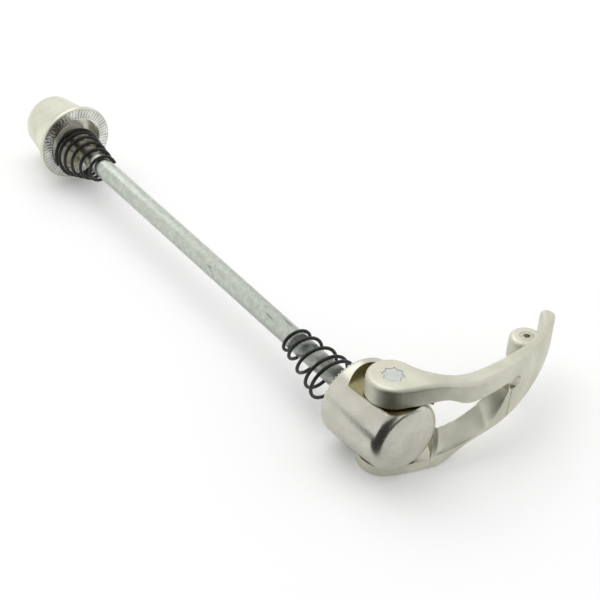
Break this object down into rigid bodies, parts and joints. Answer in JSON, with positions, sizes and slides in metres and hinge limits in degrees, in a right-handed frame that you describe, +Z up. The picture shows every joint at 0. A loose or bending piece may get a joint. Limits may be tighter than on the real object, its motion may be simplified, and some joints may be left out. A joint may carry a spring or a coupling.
{
  "type": "quick release skewer",
  "caption": "Bicycle wheel quick release skewer: slim rod with a cam lever and housing at one end, a finger nut at the other and conical springs between.",
  "frame": {"origin": "on the rod's axis, at the clamp face of the cam housing", "axes": "+X along the rod from the nut to the lever, +Y along the closed lever, +Z up the cam axle"},
  "size_m": [0.1553, 0.0653, 0.0237],
  "materials": {
    "rod_zinc": "zinc-plated, lightly scratched",
    "axle_steel": "plain turned",
    "bush_brass": "plain turned",
    "housing_alloy": "satin polished",
    "lever_alloy": "bead blasted, clear anodised",
    "ring_chrome": "bright plated",
    "nut_alloy": "satin",
    "spring_black": "black oxide wire",
    "screw_steel": "bright",
    "friction_plastic": "natural nylon"
  },
  "bodies": {
    "housing": {"cam_housing": "housing_alloy", "housing_clamp_ring": "ring_chrome", "upper_cam_bush": "bush_brass", "lower_cam_bush": "bush_brass", "lever_spring": "spring_black"},
    "lever": {"lever_handle": "lever_alloy", "lower_arm": "lever_alloy", "arm_screw": "screw_steel", "arm_pin": "screw_steel", "cam_axle": "axle_steel"},
    "rod": {"skewer_rod": "rod_zinc"},
    "nut_carrier": {"nut_spring": "spring_black"},
    "nut": {"nut_body": "nut_alloy", "nut_clamp_ring": "ring_chrome", "nut_friction_ring": "friction_plastic"}
  },
  "joints": [
    {"name": "lever_swing", "type": "hinge", "parent": "housing", "child": "lever", "pos_m": [0.0116, 0, 0], "axis": [0, 0, -1], "range_deg": [0, 180]},
    {"name": "rod_draw", "type": "slide", "parent": "housing", "child": "rod", "axis": [1, 0, 0], "range_m": [-0.002, 0]},
    {"name": "nut_advance", "type": "slide", "parent": "rod", "child": "nut_carrier", "axis": [1, 0, 0], "range_m": [-0.0024, 0.0056]},
    {"name": "nut_turn", "type": "hinge", "parent": "nut_carrier", "child": "nut", "pos_m": [-0.1196, 0, 0], "axis": [1, 0, 0], "range_deg": [-1080, 2520]}
  ],
  "couplings": [
    {"joint": "rod_draw", "follows": "lever_swing", "m_per_rad": -0.00063662},
    {"joint": "nut_advance", "follows": "nut_turn", "m_per_rad": 0.00012732}
  ]
}
